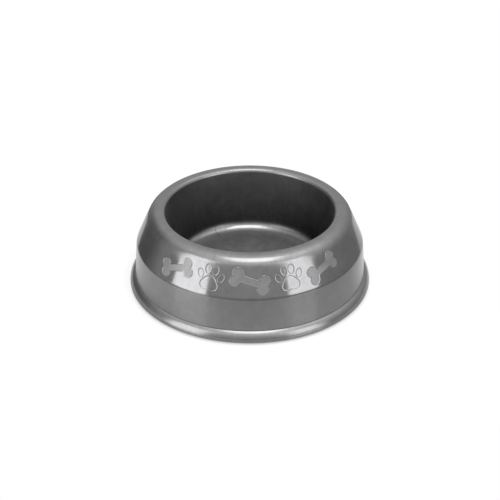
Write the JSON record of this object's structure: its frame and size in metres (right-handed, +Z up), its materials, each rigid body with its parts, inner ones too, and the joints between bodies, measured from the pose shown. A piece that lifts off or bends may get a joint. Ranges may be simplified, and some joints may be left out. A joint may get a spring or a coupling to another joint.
{
  "type": "pet food bowl",
  "caption": "Low round pet food bowl: deep basin, domed rim and sloping band over a short skirt, closed by a base pan with a rounded bead and non-slip feet.",
  "frame": {"origin": "centre of the circle that the feet stand on, on the bowl's axis", "axes": "+Z up along the axis of the bowl; -Y is the side that the picture shows"},
  "size_m": [0.24, 0.24, 0.0785],
  "materials": {
    "bowl_plastic": "metallic grey moulded polypropylene, fairly glossy",
    "pan_plastic": "metallic grey moulded polypropylene, fairly glossy",
    "foot_rubber": "matte black rubber"
  },
  "bodies": {
    "root": {"bowl_shell": "bowl_plastic", "base_pan": "pan_plastic", "rubber_foot_1": "foot_rubber", "rubber_foot_2": "foot_rubber", "rubber_foot_3": "foot_rubber", "rubber_foot_4": "foot_rubber", "rubber_foot_5": "foot_rubber", "rubber_foot_6": "foot_rubber"}
  },
  "joints": []
}
